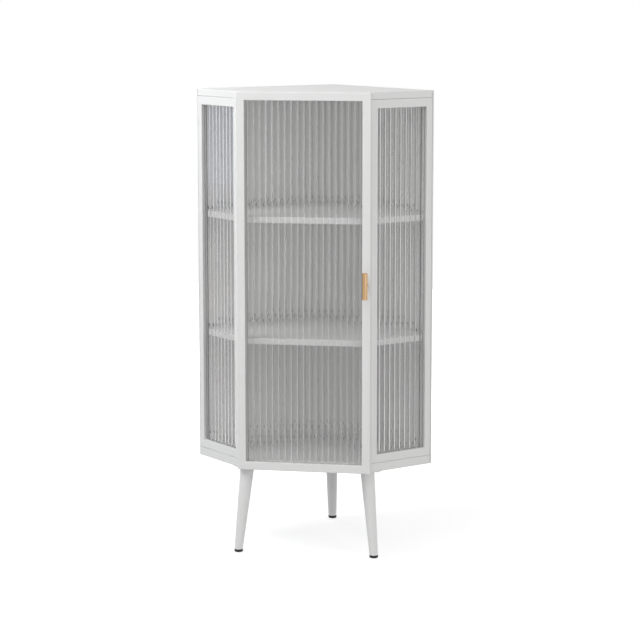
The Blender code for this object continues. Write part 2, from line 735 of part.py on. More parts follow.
def flange_holes(end):
    """The slot and the screw holes that a hinge needs in its tray's front flange."""
    bm = bmesh.new()
    half = LEAF_HALF_WIDTH + SLOT_CLEARANCE
    front = BODY_FRONT - PANEL_SHEET
    back = BODY_FRONT + 2 * PANEL_SHEET
    low = end_level(end, LEAF_LEVEL - SLOT_CLEARANCE)
    high = end_level(end, LEAF_LEVEL + LEAF_SHEET + SLOT_CLEARANCE)
    add_box(bm, (HINGE_X - half, front, min(low, high)), (HINGE_X + half, back, max(low, high)))
    for offset in HINGE_SCREW_PLACES:
        place = (HINGE_X + offset, BODY_FRONT, end_level(end, HINGE_SCREW_LEVEL))
        add_rod(bm, HINGE_SCREW_RADIUS + GAP, 4 * PANEL_SHEET, place, "Y")
    return bm


def make_catch():
    """A magnet in a housing behind the right front flange, its face near the door's steel lip."""
    face = DOOR_DEPTH + GAP
    low = (-MAGNET_WIDTH / 2, 0, -MAGNET_HEIGHT / 2)
    high = (MAGNET_WIDTH / 2, MAGNET_DEPTH, MAGNET_HEIGHT / 2)
    bm = bmesh.new()
    add_box(bm, low, high)
    piece("catch_magnet", bm, IRON, CABINET, (CATCH_X, face, BODY_MIDDLE))

    front = BODY_FRONT + FRAME_SHEET + GAP
    bm = bmesh.new()
    add_box(bm, (-CATCH_WIDTH / 2, 0, -CATCH_HEIGHT / 2), (CATCH_WIDTH / 2, CATCH_DEPTH, CATCH_HEIGHT / 2))
    housing = piece("catch_housing", bm, NYLON, CABINET, (CATCH_X, front, BODY_MIDDLE))
    pocket = bmesh.new()
    depth = face + MAGNET_DEPTH - front
    low = (low[0] - GAP, -GAP, low[2] - GAP)
    high = (high[0] + GAP, depth + GAP, high[2] + GAP)
    add_box(pocket, low, high)
    cut(housing, pocket)


def make_buffers():
    """Two soft discs on the right front flange, for the door to close on."""
    height = DOOR_CLEARANCE - 2 * GAP
    profile = [
        (0, height), (BUFFER_RADIUS - BUFFER_CHAMFER, height), (BUFFER_RADIUS, height - BUFFER_CHAMFER),
        (BUFFER_RADIUS, 0), (0, 0),
    ]
    for end in (-1, 1):
        place = (CATCH_X, BODY_FRONT - GAP, end_level(end, BUFFER_INSET))
        turned(end_name(end) + "_buffer", profile, RUBBER, CABINET, place, pi)


def make_leg_tube(name, foot, lean, low, high):
    """A leaning tapered tube, cut level at both ends."""
    bm = bmesh.new()
    bmesh.ops.create_cone(
        bm, cap_ends=False, segments=LEG_ROUND,
        radius1=LEG_FOOT_RADIUS, radius2=LEG_TOP_RADIUS, depth=high - low,
    )
    for vert in bm.verts:
        if vert.co.z > 0:
            vert.co += lean
    tube = piece(name, bm, STEEL, CABINET, foot + Vector((0, 0, (low + high) / 2)))
    smooth(tube)
    bend_sheet(tube, LEG_WALL, 0)


def make_leg_plate(name, place, clip, screws):
    """The plate that a leg is welded to: a square set corner to the front, clipped if it must be."""
    reach = PLATE_SIDE * S
    corners = [(reach, 0), (0, reach), (-reach, 0), (0, -reach)]
    if clip:
        line = PLATE_CLIP - reach
        corners = corners[:3] + [(-PLATE_CLIP, line), (PLATE_CLIP, line)]
    bm = bmesh.new()
    sole = bm.faces.new([bm.verts.new((x, y, 0)) for x, y in corners])
    raise_faces(bm, [sole], PLATE_SHEET)
    bmesh.ops.recalc_face_normals(bm, faces=bm.faces)
    plate = piece(name, bm, STEEL, CABINET, place)
    bm = bmesh.new()
    for x, y in screws:
        add_rod(bm, LEG_SCREW_RADIUS + GAP, 3 * PLATE_SHEET, (x, y, PLATE_SHEET / 2))
    cut(plate, bm)


def make_leg(name, foot, lean, clip):
    """A leg with its plate, its screws and its glide, and the places of its screws."""
    foot = Vector((*foot, 0))
    lean = Vector((*lean, 0))
    plate_low = LEG_HEIGHT - GAP - PLATE_SHEET
    make_leg_tube(name + "_leg", foot, lean, GLIDE_HEIGHT + GAP, plate_low - GAP)
    inner = LEG_SCREW_SPREAD if clip else -LEG_SCREW_SPREAD
    screws = [(-LEG_SCREW_SPREAD, 0), (LEG_SCREW_SPREAD, 0), (0, inner)]
    top = foot + lean
    make_leg_plate(name + "_leg_plate", top + Vector((0, 0, plate_low)), clip, screws)

    profile = screw_profile(LEG_SCREW_HEAD_RADIUS, LEG_SCREW_HEAD, LEG_SCREW_RADIUS, LEG_SCREW_GRIP)
    for number, (x, y) in enumerate(screws, 1):
        place = top + Vector((x, y, plate_low - GAP))
        turned(f"{name}_leg_screw_{number}", profile, ZINC, CABINET, place, flip=True)

    plug_top = GLIDE_HEIGHT + GLIDE_PLUG
    profile = [
        (0, plug_top), (GLIDE_PLUG_RADIUS, plug_top), (GLIDE_PLUG_RADIUS, GLIDE_HEIGHT),
        (GLIDE_RADIUS, GLIDE_HEIGHT), (GLIDE_RADIUS, GLIDE_DOME),
        (GLIDE_RADIUS - GLIDE_DOME * 0.25, GLIDE_DOME * 0.5),
        (GLIDE_RADIUS - GLIDE_DOME * 0.7, GLIDE_DOME * 0.15), (GLIDE_FLAT_RADIUS, 0), (0, 0),
    ]
    turned(name + "_glide", profile, RUBBER, CABINET, foot, sides=LEG_ROUND)
    return [(top.x + x, top.y + y) for x, y in screws]


def make_stand():
    """Three legs, and the places of their screws."""
    places = []
    for hand in (-1, 1):
        foot = (hand * FRONT_FOOT_X, FRONT_FOOT_Y)
        lean = (-hand * FRONT_LEG_LEAN * S, FRONT_LEG_LEAN * S)
        places += make_leg("front_" + side_name(hand), foot, lean, clip=True)
    places += make_leg("rear", (0, REAR_FOOT_Y), (0, -REAR_LEG_LEAN), clip=False)
    return places


def make_trays(screws):
    """The top and bottom trays, pierced for the hinges and the leg screws."""
    insets = (0, 0, BACK_SEAT)
    top = folded_tray("top_panel", insets, BODY_TOP, -TOP_FLANGE, TRAY_LIP)
    cut(top, flange_holes(1))
    bottom = folded_tray("bottom_panel", insets, LEG_HEIGHT, BOTTOM_FLANGE, TRAY_LIP)
    bm = flange_holes(-1)
    for x, y in screws:
        add_rod(bm, LEG_SCREW_RADIUS + GAP, 4 * PANEL_SHEET, (x, y, LEG_HEIGHT))
    cut(bottom, bm)


for old in list(bpy.data.objects):
    bpy.data.objects.remove(old, do_unlink=True)

PARTS = collection("corner_cabinet")
CUTTERS = collection("cutters")
CUTTERS.hide_render = True
STEEL = material("powder_coated_steel", (0.80, 0.79, 0.77), 0.45)
GLASS = material("fluted_glass", (0.86, 0.90, 0.89), 0.05, transmission=1.0)
BRASS = material("brushed_brass", (0.72, 0.50, 0.25), 0.35, metallic=1.0)
ZINC = material("zinc_plated_steel", (0.60, 0.60, 0.58), 0.35, metallic=1.0)
NYLON = material("white_nylon", (0.75, 0.75, 0.73), 0.5)
IRON = material("magnet_iron", (0.12, 0.12, 0.12), 0.45, metallic=1.0)
RUBBER = material("black_rubber", (0.02, 0.02, 0.02), 0.7)
CABINET = empty("cabinet", (0, -DEPTH_MIDDLE, 0))
DOOR = empty("door_axis", (HINGE_X, HINGE_Y, LEG_HEIGHT), CABINET)

make_trays(make_stand())
for side in (-1, 1):
    cut_side_frame(make_side_frame(side), side)
    make_side_glazing(side)
    make_back_panel(side)
for shelf_end, shelf_level in zip((-1, 1), SHELF_LEVELS):
    make_shelf(shelf_end, shelf_level)
make_door_frame()
make_door_glazing()
make_handle()
for hinge_end in (-1, 1):
    make_hinge(hinge_end)
make_catch()
make_buffers()
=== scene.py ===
"""Corner cabinet: its fluted glass, handle, legs and finishes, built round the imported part."""

import json
from math import cos, pi, radians, sin, sqrt

import bpy
from bpy.props import FloatProperty, FloatVectorProperty, IntProperty, PointerProperty, StringProperty
from mathutils import Matrix, Vector


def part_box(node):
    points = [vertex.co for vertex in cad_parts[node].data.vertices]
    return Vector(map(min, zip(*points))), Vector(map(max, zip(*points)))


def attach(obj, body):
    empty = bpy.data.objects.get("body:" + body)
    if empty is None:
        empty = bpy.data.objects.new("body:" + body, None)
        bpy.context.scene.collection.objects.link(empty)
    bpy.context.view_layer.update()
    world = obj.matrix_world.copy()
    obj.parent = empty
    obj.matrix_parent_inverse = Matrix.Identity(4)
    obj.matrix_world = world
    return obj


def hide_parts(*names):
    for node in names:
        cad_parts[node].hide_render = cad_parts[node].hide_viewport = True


bl_info = {
    "name": "Corner Cabinet",
    "version": (1, 0, 0),
    "blender": (4, 5, 0),
    "location": "3D View > Sidebar > Corner Cabinet",
    "description": "Builds the looks of a steel corner cabinet with fluted glass",
    "category": "Object",
}

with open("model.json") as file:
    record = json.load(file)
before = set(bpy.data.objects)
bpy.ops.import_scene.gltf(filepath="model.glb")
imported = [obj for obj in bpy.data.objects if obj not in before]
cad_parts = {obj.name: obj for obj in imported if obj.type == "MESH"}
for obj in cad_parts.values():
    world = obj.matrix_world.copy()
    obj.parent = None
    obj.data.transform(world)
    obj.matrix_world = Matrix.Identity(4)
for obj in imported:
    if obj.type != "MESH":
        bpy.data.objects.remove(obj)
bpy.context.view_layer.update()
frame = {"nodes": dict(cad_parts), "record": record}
NODES = frame["nodes"]
MM = 0.001
S = sqrt(0.5)

# Points closer than this are one point, and cuts are exact to a tenth of it
MERGE = 0.01 * MM
CUT = 0.001 * MM
# A face looks along an axis when its normal has at least this much of it
FACING = 0.9


def middle(node):
    """The middle of a CAD node's box."""
    low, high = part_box(node)
    return (Vector(low) + Vector(high)) / 2


def size(node):
    """The size of a CAD node's box."""
    low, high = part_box(node)
    return Vector(high) - Vector(low)


def reach(node, direction):
    """How far a CAD node reaches along a direction: its nearest and its farthest point."""
    places = [vertex.co.dot(direction) for vertex in NODES[node].data.vertices]
    return min(places), max(places)


# Settings


class PaintSettings(bpy.types.PropertyGroup):
    """The powder coat of the sheet steel."""
    colour: StringProperty(name="Colour", description="sRGB colour of the coat", default="#E8E8E7")
    second: StringProperty(name="Second colour", description="sRGB colour that it drifts to",
                           default="#E4E4E3")
    grain: FloatProperty(name="Grain", description="Width of the coat's orange peel",
                         default=1.6 * MM, unit="LENGTH")
    roughness: FloatProperty(name="Roughness", description="Sheen of the coat, from gloss to matt",
                             default=0.42, min=0, max=1)


class GlassSettings(bpy.types.PropertyGroup):
    """The fluted glass."""
    pitch: FloatProperty(name="Pitch", description="Width of one flute", default=15 * MM, unit="LENGTH")
    base: FloatProperty(name="Base", description="Thickness of the glass between two flutes",
                        default=2.3 * MM, unit="LENGTH")
    steps: IntProperty(name="Steps", description="Facets across one flute", default=16)
    turn_steps: IntProperty(name="Turn steps", description="Facets of the flute's whole circle", default=74)
    valley: FloatProperty(name="Valley", description="Rounding at each side of the valley between two flutes",
                          default=0.4 * MM, unit="LENGTH")
    valley_steps: IntProperty(name="Valley steps", description="Facets of the valley", default=5)
    colour: StringProperty(name="Colour", description="sRGB tint of the glass", default="#FCFCFC")
    haze: FloatProperty(name="Haze", description="Roughness that the roller leaves", default=0.12)
    face: StringProperty(name="Face", description="What each face lets through of scattered light",
                         default="#F6F6F6")
    lamp_face: StringProperty(name="Lamp face", description="What each face lets through of the lamps' light",
                              default="#D6D6D6")


class PlugSettings(bpy.types.PropertyGroup):
    """The plugs in the backs."""
    width: FloatProperty(name="Width", description="Width of a plug's head", default=18 * MM, unit="LENGTH")
    tall: FloatProperty(name="Tall", description="Height of a plug's head", default=6 * MM, unit="LENGTH")
    proud: FloatProperty(name="Proud", description="How far a plug stands off the sheet",
                         default=1.4 * MM, unit="LENGTH")
    spacing: FloatProperty(name="Spacing", description="Distance from plug to plug",
                           default=120 * MM, unit="LENGTH")
    sheet: FloatProperty(name="Sheet", description="Thickness of the backs' sheet",
                         default=1 * MM, unit="LENGTH")
    edge: FloatProperty(name="Edge", description="Height of the floor's turned-up edge",
                        default=21 * MM, unit="LENGTH")


class HandleSettings(bpy.types.PropertyGroup):
    """The bar handle."""
    colour: StringProperty(name="Colour", description="sRGB colour of the brass", default="#C6A37C")
    chamfer: FloatProperty(name="Chamfer", description="Chamfer at the bar's ends",
                           default=1.0 * MM, unit="LENGTH")
    roughness: FloatProperty(name="Roughness", description="Roughness of the brushed surface",
                             default=0.34, min=0, max=1)


class StageSettings(bpy.types.PropertyGroup):
    """The floor, the lamps and the camera."""
    floor: FloatProperty(name="Floor", description="Width of the floor", default=9.0, unit="LENGTH")
    floor_colour: StringProperty(name="Floor colour", description="sRGB colour of the floor",
                                 default="#C0C0C0")
    pale_from: FloatProperty(name="Pale from", description="Where the floor starts to pale",
                             default=0.5, unit="LENGTH")
    pale_to: FloatProperty(name="Pale to", description="Where the floor has paled to white",
                           default=1.5, unit="LENGTH")
    floor_glow: FloatProperty(name="Floor glow", description="Share of white added to the floor that is seen",
                              default=0.61)
    floor_beyond: FloatProperty(name="Floor beyond", description="Share of that white past a pane of glass",
                                default=0.5)
    world: FloatProperty(name="World", description="Level of the light from all round", default=0.49)
    white_beyond: FloatProperty(name="White beyond",
                                description="Share of the background's white past a pane", default=0.45)
    key: FloatProperty(name="Key", description="Power of the front lamp in watts", default=27.0)
    side: FloatProperty(name="Side", description="Power of the left lamp in watts", default=2.6)
    high: FloatProperty(name="High", description="Power of the high left lamp in watts", default=18.0)
    left: FloatProperty(name="Left", description="Power of the tall left lamp in watts", default=3.0)
    fill: FloatProperty(name="Fill", description="Power of the tall right lamp in watts", default=24.0)
    top: FloatProperty(name="Top", description="Power of the lamp above in watts", default=0.5)
    back: FloatProperty(name="Back", description="Power of each of the two lamps behind in watts",
                        default=17.0)


# Meshes


def only(thing):
    """Select one object and nothing else."""
    bpy.ops.object.select_all(action="DESELECT")
    thing.select_set(True)
    bpy.context.view_layer.objects.active = thing


def added(name):
    """Name the primitive that was just added."""
    thing = bpy.context.active_object
    thing.name = name
    thing.data.name = name
    only(thing)
    return thing


def edit(thing):
    """Enter edit mode on faces, with nothing selected."""
    only(thing)
    bpy.ops.object.mode_set(mode="EDIT")
    bpy.ops.mesh.select_mode(type="FACE")
    bpy.ops.mesh.select_all(action="DESELECT")


def pick(thing, test, kind="FACE"):
    """Select the vertices, edges or faces that pass a test, in edit mode."""
    bpy.ops.mesh.select_mode(type=kind)
    bpy.ops.mesh.select_all(action="DESELECT")
    bpy.ops.object.mode_set(mode="OBJECT")
    parts = {"VERT": thing.data.vertices, "EDGE": thing.data.edges, "FACE": thing.data.polygons}[kind]
    for part in parts:
        part.select = test(part)
    bpy.ops.object.mode_set(mode="EDIT")


def leave():
    """Leave edit mode."""
    bpy.ops.object.mode_set(mode="OBJECT")


def apply_modifiers(thing):
    """Apply every modifier of an object."""
    only(thing)
    for modifier in list(thing.modifiers):
        bpy.ops.object.modifier_apply(modifier=modifier.name)


def repeated(thing, count, step, merge=False):
    """Repeat a piece along X, and join the copies where they meet if merge is set."""
    copies = thing.modifiers.new("copies", "ARRAY")
    copies.count = count
    copies.use_relative_offset = False
    copies.use_constant_offset = True
    copies.constant_offset_displace = (step, 0, 0)
    copies.use_merge_vertices = merge
    copies.merge_threshold = MERGE
    apply_modifiers(thing)


def settle(thing, matrix=None):
    """Put an object at its place and apply it, so that the object sits at the origin."""
    only(thing)
    if matrix is not None:
        thing.matrix_world = matrix @ thing.matrix_world
    bpy.ops.object.transform_apply(location=True, rotation=True, scale=True)


def smooth(thing, angle=30):
    """Shade a piece smooth, with its corners sharp."""
    only(thing)
    bpy.ops.object.shade_smooth_by_angle(angle=radians(angle))


def clean(thing):
    """Merge doubled points and turn every face outwards."""
    edit(thing)
    bpy.ops.mesh.select_all(action="SELECT")
    bpy.ops.mesh.remove_doubles(threshold=MERGE)
    bpy.ops.mesh.normals_make_consistent(inside=False)
    leave()


def finished(thing, body, slot, material, *nodes):
    """Give a piece its finish and its body, and hide the CAD nodes that it stands for."""
    thing.data.materials.clear()
    thing.data.materials.append(material)
    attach(thing, body)
    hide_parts(*nodes)


# Materials


def linear(code):
    """An sRGB hex colour as linear red, green, blue and alpha."""
    values = [int(code[i:i + 2], 16) / 255 for i in (1, 3, 5)]
    return (*[v / 12.92 if v <= 0.04045 else ((v + 0.055) / 1.055) ** 2.4 for v in values], 1.0)


def add(tree, kind, inputs=None, **settings):
    """Add a node with its settings. An input is a value, or the socket that feeds it."""
    node = tree.nodes.new(kind)
    for name, value in settings.items():
        setattr(node, name, value)
    for name, value in (inputs or {}).items():
        socket = node.inputs[name]
        if isinstance(value, bpy.types.NodeSocket):
            tree.links.new(value, socket)
        else:
            socket.default_value = value
    return node


def new_material(name):
    """A material with its Principled node and nothing else."""
    material = bpy.data.materials.new(name)
    material.use_nodes = True
    return material, material.node_tree, material.node_tree.nodes["Principled BSDF"]


def noise(tree, width, detail=2.0, stretch=None):
    """Noise in the object's own coordinates, with grains of a real width."""
    place = add(tree, "ShaderNodeTexCoord").outputs["Object"]
    if stretch:
        place = add(tree, "ShaderNodeMapping", {"Vector": place, "Scale": stretch}).outputs["Vector"]
    return add(tree, "ShaderNodeTexNoise", {
        "Vector": place, "Scale": 1 / width, "Detail": detail}).outputs["Fac"]


def vary_roughness(tree, shader, source, low, high, spread=(0.0, 1.0)):
    """Move the roughness between two values as a noise goes through its spread."""
    gloss = add(tree, "ShaderNodeMapRange", {
        "Value": source, "From Min": spread[0], "From Max": spread[1], "To Min": low, "To Max": high})
    tree.links.new(gloss.outputs["Result"], shader.inputs["Roughness"])


def emboss(tree, shader, source, strength, depth):
    """Dent the surface by a noise, to a real depth."""
    bump = add(tree, "ShaderNodeBump", {"Height": source, "Strength": strength, "Distance": depth})
    tree.links.new(bump.outputs["Normal"], shader.inputs["Normal"])


def metal(shader, colour):
    """Make a shader a bare metal of one sRGB colour."""
    shader.inputs["Base Color"].default_value = linear(colour)
    shader.inputs["Metallic"].default_value = 1.0


def powder_coat():
    """Polyester powder coat on folded steel: off-white, low sheen, a shallow orange peel."""
    paint = bpy.context.scene.cabinet_paint
    material, tree, shader = new_material("powder_coated_steel")
    # Tone drifts by a hundredth over a hand's width, as on any large sprayed panel
    tone = add(tree, "ShaderNodeMix", {
        "Factor": noise(tree, 120 * MM), 6: linear(paint.colour), 7: linear(paint.second)},
        data_type="RGBA")
    tree.links.new(tone.outputs[2], shader.inputs["Base Color"])
    # The coat's orange peel is as wide as its grain and a few hundredths deep, with finer specks of gloss
    vary_roughness(tree, shader, noise(tree, paint.grain / 3), paint.roughness - 0.04,
                   paint.roughness + 0.05, (0.3, 0.7))
    emboss(tree, shader, noise(tree, paint.grain, 1.0), 0.35, 0.02 * MM)
    shader.inputs["IOR"].default_value = 1.5
    return material


def clear_glass():
    """Rolled soda-lime glass: clear and neutral, and lamps reach what is behind it."""
    glass = bpy.context.scene.cabinet_glass
    material, tree, shader = new_material("fluted_soda_lime_glass")
    shader.inputs["Base Color"].default_value = linear(glass.colour)
    shader.inputs["Transmission Weight"].default_value = 0.97
    shader.inputs["IOR"].default_value = 1.52
    # The roller draws the flutes a little dull, in streaks as long as a hand
    vary_roughness(tree, shader, noise(tree, 5 * MM, 1.0, (1.0, 1.0, 0.04)), 0.0, glass.haze)
    # The first pane that is met bends the view. Lamps, scattered light and the panes beyond pass straight
    path = add(tree, "ShaderNodeLightPath")
    plain = add(tree, "ShaderNodeMath", {0: path.outputs["Ray Depth"], 1: 1.5}, operation="GREATER_THAN")
    for kind in ("Is Shadow Ray", "Is Diffuse Ray"):
        plain = add(tree, "ShaderNodeMath", {0: plain.outputs[0], 1: path.outputs[kind]},
                    operation="MAXIMUM")
    colour = add(tree, "ShaderNodeMix", {
        0: path.outputs["Is Shadow Ray"], 6: linear(glass.face), 7: linear(glass.lamp_face)},
        data_type="RGBA")
    window = add(tree, "ShaderNodeBsdfTransparent", {"Color": colour.outputs[2]})
    mix = add(tree, "ShaderNodeMixShader", {
        0: plain.outputs[0], 1: shader.outputs["BSDF"], 2: window.outputs["BSDF"]})
    tree.links.new(mix.outputs["Shader"], tree.nodes["Material Output"].inputs["Surface"])
    return material


def brushed_brass():
    """Lacquered brass, brushed round the bar: warm, with rings too fine to count."""
    handle = bpy.context.scene.cabinet_handle
    material, tree, shader = new_material("brushed_lacquered_brass")
    # Grit 240 scratches lie 0.06 mm apart, drawn at 0.25 mm so that they show
    rings = noise(tree, 0.25 * MM, stretch=(0.1, 0.1, 1.0))
    vary_roughness(tree, shader, rings, handle.roughness - 0.08, handle.roughness + 0.08)
    emboss(tree, shader, rings, 0.25, 0.01 * MM)
    metal(shader, handle.colour)
    return material


def zinc_plate():
    """Zinc-plated steel: bluish grey, satin, faintly blotched by the plating bath."""
    material, tree, shader = new_material("zinc_plated_steel")
    vary_roughness(tree, shader, noise(tree, 3 * MM, 3.0), 0.25, 0.45)
    metal(shader, "#C3C5C7")
    return material


def moulded(name, colour, roughness, grain):
    """A moulded polymer: one colour, with the fine spark-eroded grain of its mould."""
    material, tree, shader = new_material(name)
    texture = noise(tree, grain)
    vary_roughness(tree, shader, texture, roughness - 0.06, roughness + 0.06)
    emboss(tree, shader, texture, 0.3, 0.02 * MM)
    shader.inputs["Base Color"].default_value = linear(colour)
    return material


def ground_magnet():
    """Nickel-plated magnet with a ground face: dark grey metal, fine straight scratches."""
    material, tree, shader = new_material("ground_nickel_magnet")
    vary_roughness(tree, shader, noise(tree, 0.3 * MM, stretch=(1.0, 1.0, 0.05)), 0.2, 0.45)
    metal(shader, "#77787A")
    return material


MATERIALS = {}
MAKERS = {
    "coated_steel": powder_coat,
    "fluted_glass": clear_glass,
    "brushed_brass": brushed_brass,
    "zinc_plated_steel": zinc_plate,
    "white_nylon": lambda: moulded("moulded_white_nylon", "#E4E3DE", 0.45, 0.8 * MM),
    "black_rubber": lambda: moulded("moulded_black_rubber", "#19191A", 0.62, 0.6 * MM),
    "magnet_iron": ground_magnet,
}


def finish_of(slot):
    """The material of one of the record's slots, made once."""
    if slot not in MATERIALS:
        MATERIALS[slot] = MAKERS[slot]()
    return MATERIALS[slot]


# Pieces


class CoatNodes(bpy.types.Operator):
    """Give every CAD node the finish of its slot"""
    bl_idname = "cabinet.coat_nodes"
    bl_label = "Finishes"

    def execute(self, context):
        for row in frame["record"]["subparts"]:
            for slot in NODES[row["node"]].material_slots:
                slot.material = finish_of(row["material_slot"])
        return {"FINISHED"}


def fluted_pane(name, width, height, settings):
    """A fluted pane about the origin: flat face at Y = 0, flutes towards +Y.

    One flute is cut from a bar, repeated across the pane, and trimmed at both ends.
    """
    half_angle = pi * settings.steps / settings.turn_steps
    radius = settings.pitch / 2 / sin(half_angle)
    drop = radius * cos(half_angle)
    centre = settings.base - drop
    bpy.ops.mesh.primitive_cylinder_add(
        vertices=settings.turn_steps, radius=radius, depth=height, location=(0, centre, 0))
    pane = added(name)
    settle(pane)
    edit(pane)
    bpy.ops.mesh.select_all(action="SELECT")
    bpy.ops.mesh.bisect(
        plane_co=(0, settings.base, 0), plane_no=(0, 1, 0), use_fill=True, clear_inner=True,
        threshold=CUT)
    pick(pane, lambda f: f.normal.y < -FACING)
    bpy.ops.mesh.extrude_region_move(TRANSFORM_OT_translate={"value": (0, -settings.base, 0)})
    # The bar's two cut sides go, so that its copies join into one pane
    side = settings.pitch / 2 - MERGE
    pick(pane, lambda f: abs(f.normal.x) > FACING and abs(f.center.x) > side)
    bpy.ops.mesh.delete(type="FACE")
    leave()

    count = 2 * (int(width / 2 / settings.pitch) + 1)
    repeated(pane, count, settings.pitch, merge=True)
    if settings.valley > 0:
        edit(pane)
        points = pane.data.vertices
        pick(pane, lambda e: all(abs(points[v].co.y - settings.base) < MERGE for v in e.vertices)
             and abs(points[e.vertices[0]].co.z - points[e.vertices[1]].co.z) > height / 2, "EDGE")
        bpy.ops.mesh.bevel(offset=settings.valley, segments=settings.valley_steps, affect="EDGES")
        leave()
    settle(pane, Matrix.Translation((-(count - 1) * settings.pitch / 2, 0, 0)))
    for end in (-1, 1):
        edit(pane)
        bpy.ops.mesh.select_all(action="SELECT")
        bpy.ops.mesh.bisect(
            plane_co=(end * width / 2, 0, 0), plane_no=(end, 0, 0), use_fill=True, clear_outer=True,
            threshold=CUT)
        leave()
    clean(pane)
    return pane


class MakeGlass(bpy.types.Operator):
    """Make the fluted panes of the door and the sides"""
    bl_idname = "cabinet.make_glass"
    bl_label = "Fluted glass"

    def execute(self, context):
        settings = context.scene.cabinet_glass
        glass = finish_of("fluted_glass")
        low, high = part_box("door_glass")
        pane = fluted_pane("door_pane", high[0] - low[0], high[2] - low[2], settings)
        centre = middle("door_glass")
        settle(pane, Matrix.Translation((centre.x, low[1], centre.z)))
        smooth(pane)
        finished(pane, "door", "fluted_glass", glass, "door_glass")
        for hand, word in ((-1, "left"), (1, "right")):
            node = word + "_side_glass"
            along, outward = Vector((S, hand * S, 0)), Vector((hand * S, -S, 0))
            start, end = reach(node, along)
            pane = fluted_pane(word + "_pane", end - start, size(node).z, settings)
            if hand < 0:
                settle(pane, Matrix.Scale(-1, 4, (1, 0, 0)))
                clean(pane)
            place = along * (start + end) / 2 + outward * reach(node, outward)[1]
            place.z = middle(node).z
            settle(pane, Matrix.Translation(place) @ Matrix.Rotation(hand * pi / 4, 4, "Z"))
            smooth(pane)
            finished(pane, "cabinet", "fluted_glass", glass, node)
        return {"FINISHED"}


# Each row's first plug from the front edge of the back, and its height over the floor or shelf
SHELF_ROWS = ((60 * MM, 3.8 * MM), (120 * MM, 12.5 * MM))
FLOOR_ROWS = ((60 * MM, 10 * MM), (120 * MM, 30 * MM), (60 * MM, 50 * MM))
PLUGS_IN_ROW = 3
# A plug's ends are nearly half round, and its head is domed over this share of its height
PLUG_END = 0.49
PLUG_DOME = 0.6


def plug_row(name, settings):
    """A row of plugs along X from the origin, flat side at Z = 0 and heads towards +Z."""
    bpy.ops.mesh.primitive_cube_add(
        size=1, location=(0, 0, settings.proud / 2),
        scale=(settings.width, settings.tall, settings.proud))
    plugs = added(name)
    settle(plugs)
    edit(plugs)
    points = plugs.data.vertices
    pick(plugs, lambda e: abs(points[e.vertices[0]].co.z - points[e.vertices[1]].co.z)
         > settings.proud / 2, "EDGE")
    bpy.ops.mesh.bevel(offset=settings.tall * PLUG_END, segments=6, affect="EDGES")
    pick(plugs, lambda f: f.normal.z > FACING)
    bpy.ops.mesh.bevel(offset=settings.proud * PLUG_DOME, segments=3, affect="EDGES")
    leave()
    repeated(plugs, PLUGS_IN_ROW, settings.spacing)
    return plugs


class MakePlugs(bpy.types.Operator):
    """Make the rows of small black plugs at the foot of each compartment's backs"""
    bl_idname = "cabinet.make_plugs"
    bl_label = "Back plugs"

    def execute(self, context):
        settings = context.scene.cabinet_plugs
        black = finish_of("black_rubber")
        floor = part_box("bottom_panel")[0][2]
        levels = {
            "floor": (floor, FLOOR_ROWS),
            "lower_shelf": (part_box("lower_shelf")[1][2], SHELF_ROWS),
            "upper_shelf": (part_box("upper_shelf")[1][2], SHELF_ROWS),
        }
        for word, hand in (("left", -1), ("right", 1)):
            along = Vector((-hand * S, S, 0))
            inward = Vector((-hand * S, -S, 0))
            back = word + "_back_panel"
            turn = Matrix((along, -hand * Vector((0, 0, 1)), inward)).transposed().to_4x4()
            for level, (base, rows) in levels.items():
                for row, (start, rise) in enumerate(rows, 1):
                    plugs = plug_row(f"{word}_{level}_plugs_{row}", settings)
                    # The lowest row is in the floor's turned-up edge, which stands before the back
                    carrier = "bottom_panel" if base + rise < floor + settings.edge else back
                    place = along * (reach(back, along)[0] + start)
                    place += inward * (reach(carrier, inward)[0] + settings.sheet)
                    place.z = base + rise
                    settle(plugs, Matrix.Translation(place) @ turn)
                    smooth(plugs, 40)
                    finished(plugs, "cabinet", "black_rubber", black)
        return {"FINISHED"}


# The bar and its stem: facets, drill, and the fit of the stem and of the screw in their holes
BAR_ROUND = 96
STEM_ROUND = 64
DRILL_LENGTH = 12 * MM
HOLE_FLOOR_GAP = 0.1 * MM
SOCKET_FIT = 0.05 * MM
SCREW_BORE = 1.88 * MM
FOOT_HEIGHT = 1.5 * MM
FOOT_EDGE = 0.4 * MM


def drilled(thing, radius, centre, end):
    """Drill a round hole along Y, from behind, to just past the front end of what goes in."""
    place = (centre.x, end - HOLE_FLOOR_GAP + DRILL_LENGTH / 2, centre.z)
    bpy.ops.mesh.primitive_cylinder_add(
        vertices=STEM_ROUND, radius=radius, depth=DRILL_LENGTH, location=place, rotation=(pi / 2, 0, 0))
    drill = added("drill")
    settle(drill)
    hole = thing.modifiers.new("hole", "BOOLEAN")
    hole.operation = "DIFFERENCE"
    hole.object = drill
    apply_modifiers(thing)
    only(drill)
    bpy.ops.object.delete()


